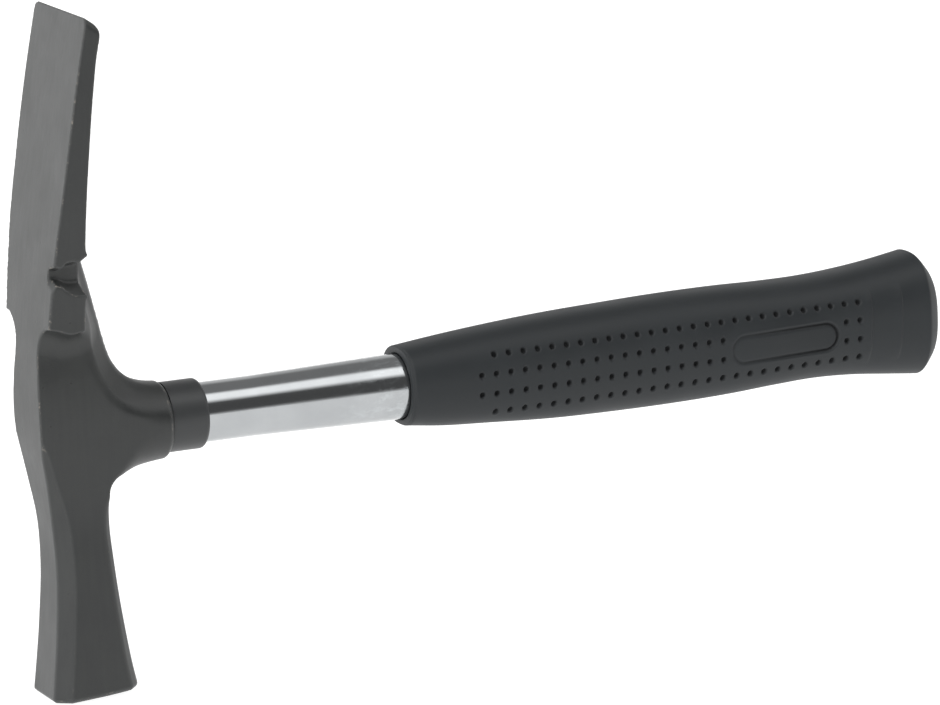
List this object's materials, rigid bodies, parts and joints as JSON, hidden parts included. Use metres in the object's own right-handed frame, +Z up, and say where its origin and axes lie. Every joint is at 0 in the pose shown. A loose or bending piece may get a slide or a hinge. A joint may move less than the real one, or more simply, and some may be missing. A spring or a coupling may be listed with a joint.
{
  "type": "brick hammer",
  "caption": "Mason's brick hammer with a transverse cutting blade, square striking pen, side nail notch and a tubular steel handle with a moulded grip.",
  "frame": {"origin": "centre of the striking face at the foot of the pen", "axes": "+X along the handle from the head to the grip's end, +Z up the head from the striking face to the blade, nail notch on the -Y side"},
  "size_m": [0.288, 0.0418, 0.1967],
  "materials": {
    "head_steel": "matt dark grey coating on forged steel, worn bright on a few edges",
    "cone_steel": "bare turned steel",
    "tube_chrome": "polished chrome",
    "collar_plastic": "black plastic, slight sheen",
    "grip_rubber": "black soft plastic, fine satin skin",
    "plug_plastic": "black plastic"
  },
  "bodies": {
    "root": {"hammer_head": "head_steel", "expander_cone": "cone_steel", "handle_tube": "tube_chrome", "collar_bush": "collar_plastic", "grip_sleeve": "grip_rubber", "tube_end_plug": "plug_plastic"}
  },
  "joints": []
}
